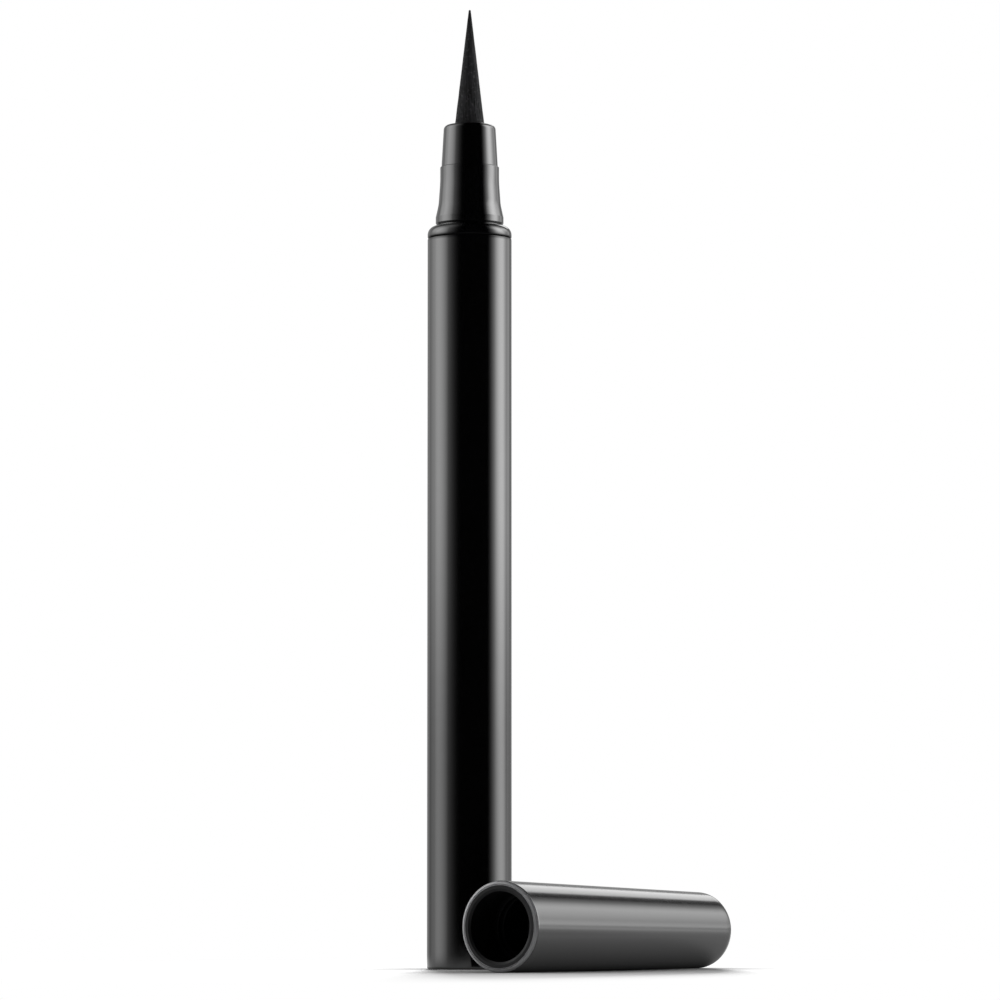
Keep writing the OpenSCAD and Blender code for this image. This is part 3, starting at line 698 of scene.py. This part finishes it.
# Wire: its middle runs through (spring_r cos angle, spring_r sin angle, climb). A point of its
# face is the middle plus wire_r (cos t out - sin t side), with side square to out and to the wire
turn_done = np.linspace(0, spring_turns, spring_turns * rings_a_turn + 1)
closed_rise = 2 * wire_r * closed_pitch
open_turns = spring_turns - 2 * closed_turns
open_rise = (spring_high_u - spring_low_u - 2 * closed_turns * closed_rise) / open_turns
closed = (turn_done < closed_turns) | (turn_done > spring_turns - closed_turns)
rise = np.where(closed, closed_rise, open_rise)
climb = spring_low_u + np.concatenate([[0], np.cumsum((rise[1:] + rise[:-1]) / 2) / rings_a_turn])
climb += (spring_high_u - climb[-1]) * turn_done / spring_turns
angle = 2 * math.pi * turn_done
out = np.stack([np.cos(angle), np.sin(angle), 0 * angle], -1)
middle = spring_r * out + np.stack([0 * climb, 0 * climb, climb], -1)
along = np.gradient(middle, axis=0)
along /= np.linalg.norm(along, axis=1)[:, None]
side = np.cross(along, out)
round_wire = np.linspace(0, 2 * math.pi, wire_sides, endpoint=False)[None, :, None]
wire = middle[:, None] + wire_r * (np.cos(round_wire) * out[:, None] - np.sin(round_wire) * side[:, None])
spring_coil = skinned("cap_spring_coil", laid(wire), ring=False)
fitted(spring_coil, "cap", "cap_spring", drawn_steel)
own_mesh(spring_coil)

# Camera: low over the table and far off, looking across the cap's mouth at the pen, tilted up
# until the tip and the foot are both in the picture.
camera_azimuth = math.radians(-56)
camera_distance = 650 * mm
camera_height = 10 * mm
camera_aside = 3.8 * mm
camera_pitch = math.radians(4.2435)
camera_data = bpy.data.cameras.new("studio_camera")
camera_data.sensor_width = 36
camera_data.lens = 188.26
camera_data.clip_start = 0.01
camera_data.clip_end = 20
camera = bpy.data.objects.new("studio_camera", camera_data)
towards_camera = Vector((math.sin(camera_azimuth), -math.cos(camera_azimuth), 0))
camera_right = Vector((math.cos(camera_azimuth), math.sin(camera_azimuth), 0))
camera.location = (
    towards_camera * camera_distance + camera_right * camera_aside + Vector((0, 0, camera_height)))
looking = -towards_camera * math.cos(camera_pitch) + Vector((0, 0, math.sin(camera_pitch)))
camera.rotation_mode = "QUATERNION"
camera.rotation_quaternion = looking.to_track_quat("-Z", "Y")
bpy.context.scene.collection.objects.link(camera)
bpy.context.scene.camera = camera

# Table: a wide matt white sheet, pure white in the picture away from the shadow of the object. The shadow
# comes from the low lamp behind the object. Painted light fades it out towards the camera: for the camera
# the sheet glows white, more so the further it lies from the group. In the gloss the sheet is a painted
# glow, darkened only by the painted shade in the gaps under the pieces.
table_r = 4.0
table_sides = 96
# Share of the light that the sheet gives back to the other pieces and to the camera
sheet_level = (0.8, 1.2)
# Where the low lamp stands, and where the nap of the sheet leans to: azimuth to the right of the
# camera and elevation, both in degrees. The lean lets so low a lamp light the sheet brightly
lamp_place = (180, 10)
nap_lean = (180, 52)
# The group stands round this point. The painted glow that fades its shadow out rises between these distances
# from it
group_middle = (0, -10 * mm, 0)
shadow_glow_span = (8 * mm, 100 * mm)
# The gloss sees the sheet only near the object, and past it the dark studio
sheet_fade = (30 * mm, 150 * mm)
# Reach and strength of the painted shade in the gap under a piece, which darkens the sheet's colour there
shade_reach = 10 * mm
shade_power = 1.5


def heading(azimuth, elevation):
    """Direction at an azimuth to the right of the camera, seen from the object, and an elevation,
    both in degrees."""
    turn, rise = math.radians(azimuth), math.radians(elevation)
    flat = towards_camera * math.cos(turn) + camera_right * math.sin(turn)
    return flat * math.cos(rise) + Vector((0, 0, math.sin(rise)))


table_turn = np.linspace(0, 2 * math.pi, table_sides, endpoint=False)
table_points = np.stack([table_r * np.cos(table_turn), table_r * np.sin(table_turn), 0 * table_turn], -1)
table_mesh = bpy.data.meshes.new("table_top")
table_mesh.from_pydata(table_points.tolist(), [], [list(range(len(table_turn)))])
table_top = bpy.data.objects.new("table_top", table_mesh)
bpy.context.scene.collection.objects.link(table_top)
matt_white, tree = blank("Matt white table")
matt_white.cycles.emission_sampling = "NONE"
path = add(tree, "LightPath", {}).outputs
place = add(tree, "TexCoord", {}).outputs["Object"]
open_sky = add(tree, "AmbientOcclusion", {"Distance": shade_reach}, samples=16).outputs["AO"]
shaded = add(tree, "Math", {0: open_sky, 1: shade_power}, operation="POWER").outputs[0]
level = add(tree, "MapRange", {0: path["Is Camera Ray"], 3: sheet_level[0], 4: sheet_level[1]}).outputs[0]
white = add(tree, "Math", {0: level, 1: shaded}, operation="MULTIPLY").outputs[0]
nap = add(tree, "VectorMath", {0: heading(*nap_lean)}, operation="NORMALIZE").outputs[0]
sheet = add(tree, "BsdfDiffuse", {"Color": white, "Normal": nap})
# Painted light: for the camera the sheet glows white, more so the further it lies from the group, which
# fades the shadow out
out = add(tree, "VectorMath", {0: place, 1: group_middle}, operation="DISTANCE").outputs["Value"]
painted_glow = add(tree, "MapRange", {0: out, 1: shadow_glow_span[0], 2: shadow_glow_span[1]}, interpolation_type="SMOOTHSTEP")
glowing = add(tree, "Math", {0: painted_glow.outputs[0], 1: path["Is Camera Ray"]}, operation="MULTIPLY").outputs[0]
share = add(tree, "Math", {0: glowing, 1: path["Is Glossy Ray"]}, operation="MAXIMUM").outputs[0]
strength = add(tree, "Math", {0: shaded, 1: path["Is Camera Ray"]}, operation="MAXIMUM").outputs[0]
glow = add(tree, "Emission", {"Strength": strength})
shown = add(tree, "MixShader", {0: share, 1: sheet.outputs[0], 2: glow.outputs[0]})
past = add(tree, "MapRange", {0: out, 1: sheet_fade[0], 2: sheet_fade[1]}).outputs[0]
unseen = add(tree, "Math", {0: past, 1: path["Is Glossy Ray"]}, operation="MULTIPLY").outputs[0]
gone = add(tree, "BsdfTransparent", {})
both = add(tree, "MixShader", {0: unseen, 1: shown.outputs[0], 2: gone.outputs[0]})
add(tree, "OutputMaterial", {"Surface": both.outputs[0]})
table_mesh.materials.append(matt_white)

# Studio: tall soft boxes stand left and right of the pen, smaller ones hang over them for the neck
# and the cap, and a faint glow lies behind. They are painted on the world by direction, so that
# the gloss shows them while the camera sees plain white behind the object.
# Each light: azimuth and elevation of its middle, half its width where it starts and where it is
# full, all in degrees, then its level, its fall, and the share of it that is left at the horizon.
# The one with a level below zero is a black flag, which takes light off the box behind it
soft_boxes = (
    (-94, 0, 79, 0, 3.1, 3.9, 0.57),
    (-85, 0, 25, 0, 2.1, 1.0, 0.57),
    (90, 0, 43, 0, 5.6, 3.3, 0.68),
    (109, 0, 37, 0, 3.2, 1.0, 0.5),
    (121, 24, 14, 2, 1.6, 1.0, 1.0),
    (-110, 28, 24, 5, 1.2, 1.0, 1.0),
    (90, 30, 22, 5, 2.6, 1.0, 1.0),
    (165, 30, 12, 9, 2.1, 1.0, 1.0),
    (119, 12, 14, 2, -1.2, 1.0, 1.0),
    (180, 5, 45, 35, 0.45, 1.0, 1.0))
# The boxes that stand at the horizon are tall: a height counts this much as against a width
box_height_share = 0.4
# Elevations between which a box comes up to its full level, as their sines
horizon_low, horizon_high = math.sin(math.radians(1.3)), math.sin(math.radians(4.5))
# Share of the boxes' light that falls on matt surfaces
fill_share = 0.3
world = bpy.data.worlds.new("Studio")
world.use_nodes = True
world.cycles.sampling_method = "NONE"
bpy.context.scene.world = world
tree = world.node_tree
tree.nodes.clear()
path = add(tree, "LightPath", {}).outputs
direction = add(tree, "TexCoord", {}).outputs["Generated"]
height = add(tree, "SeparateXYZ", {0: direction}).outputs[2]
raised = add(tree, "MapRange", {0: height, 1: horizon_low, 2: horizon_high}, interpolation_type="SMOOTHSTEP")
flat = add(tree, "VectorMath", {0: direction, 1: (1, 1, box_height_share)}, operation="MULTIPLY")
lowered = add(tree, "VectorMath", {0: flat.outputs[0]}, operation="NORMALIZE").outputs[0]
total = 0.0
for azimuth, elevation, edge, full, level, fall, low_share in soft_boxes:
    seen_from = lowered if elevation == 0 else direction
    facing = add(tree, "VectorMath", {0: seen_from, 1: heading(azimuth, elevation)}, operation="DOT_PRODUCT")
    share = add(tree, "MapRange", {
        0: facing.outputs["Value"], 1: math.cos(math.radians(edge)), 2: math.cos(math.radians(full))})
    bell = add(tree, "Math", {0: share.outputs[0], 1: fall}, operation="POWER")
    kept = add(tree, "MapRange", {0: raised.outputs[0], 3: level * low_share, 4: level})
    glow = add(tree, "Math", {0: bell.outputs[0], 1: kept.outputs[0], 2: total}, operation="MULTIPLY_ADD")
    total = glow.outputs[0]
dimmed = add(tree, "MapRange", {0: path["Is Diffuse Ray"], 3: 1.0, 4: fill_share})
strength = add(tree, "Math", {0: total, 1: dimmed.outputs[0]}, operation="MULTIPLY")
boxes = add(tree, "Background", {"Color": (1, 1, 1, 1), "Strength": strength.outputs[0]})
backdrop = add(tree, "Background", {"Color": (1, 1, 1, 1), "Strength": 1.0})
clear = add(tree, "Math", {0: path["Is Camera Ray"], 1: path["Is Transmission Ray"]}, operation="MAXIMUM")
seen = add(tree, "MixShader", {0: clear.outputs[0], 1: boxes.outputs[0], 2: backdrop.outputs[0]})
add(tree, "OutputWorld", {"Surface": seen.outputs[0]})

# Back lamp: a round soft lamp far behind the object and low over the table, which lets the shadow
# of the object fall towards the camera. Its width is an angle in degrees, as seen from the object.
lamp_width = 12
lamp_power = 4.2
lamp_data = bpy.data.lights.new("back_lamp", "SUN")
lamp_data.angle = math.radians(lamp_width)
lamp_data.energy = lamp_power
lamp = bpy.data.objects.new("back_lamp", lamp_data)
lamp.rotation_mode = "QUATERNION"
lamp.rotation_quaternion = (-heading(*lamp_place)).to_track_quat("-Z", "Y")
lamp.visible_glossy = False
bpy.context.scene.collection.objects.link(lamp)

bpy.context.scene.view_settings.view_transform = "Standard"
